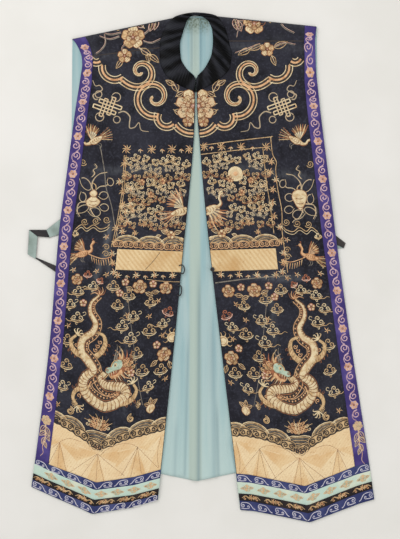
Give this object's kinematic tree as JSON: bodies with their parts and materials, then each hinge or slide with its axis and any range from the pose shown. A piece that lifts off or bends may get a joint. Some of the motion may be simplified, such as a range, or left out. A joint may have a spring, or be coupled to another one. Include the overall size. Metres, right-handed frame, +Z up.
{
  "type": "sleeveless surcoat",
  "caption": "Open-fronted sleeveless ceremonial surcoat of embroidered silk, laid flat front side up, with a gathered collar, banded hem points and side ties.",
  "frame": {"origin": "on the surface it lies on, below the middle of the garment", "axes": "+X across the garment, +Y from the hem to the shoulder fold, +Z up from the surface to the front side"},
  "size_m": [0.747, 1.099, 0.0162],
  "materials": {
    "ground": "dark embroidered silk, satin",
    "lining": "pale blue silk, soft sheen",
    "purple": "purple woven ribbon",
    "wave": "navy ribbon with woven waves",
    "pale": "pale green floral ribbon",
    "dark": "dark floral ribbon",
    "collar_silk": "black gathered silk, satin",
    "tie_silk": "two-faced silk ribbon",
    "cord": "black silk cord"
  },
  "bodies": {
    "root": {"back_panel": "ground", "back_lining": "lining", "front_left": "ground", "lining_left": "lining", "side_band_left": "purple", "hem_wave_upper_left": "wave", "hem_pale_left": "pale", "hem_dark_left": "dark", "hem_wave_lower_left": "wave", "front_right": "ground", "lining_right": "lining", "side_band_right": "purple", "hem_wave_upper_right": "wave", "hem_pale_right": "pale", "hem_dark_right": "dark", "hem_wave_lower_right": "wave", "collar": "collar_silk", "tie_left": "tie_silk", "tie_right": "tie_silk", "frog_loop": "cord", "cord_loop": "cord", "frog_knot": "cord"}
  },
  "joints": []
}
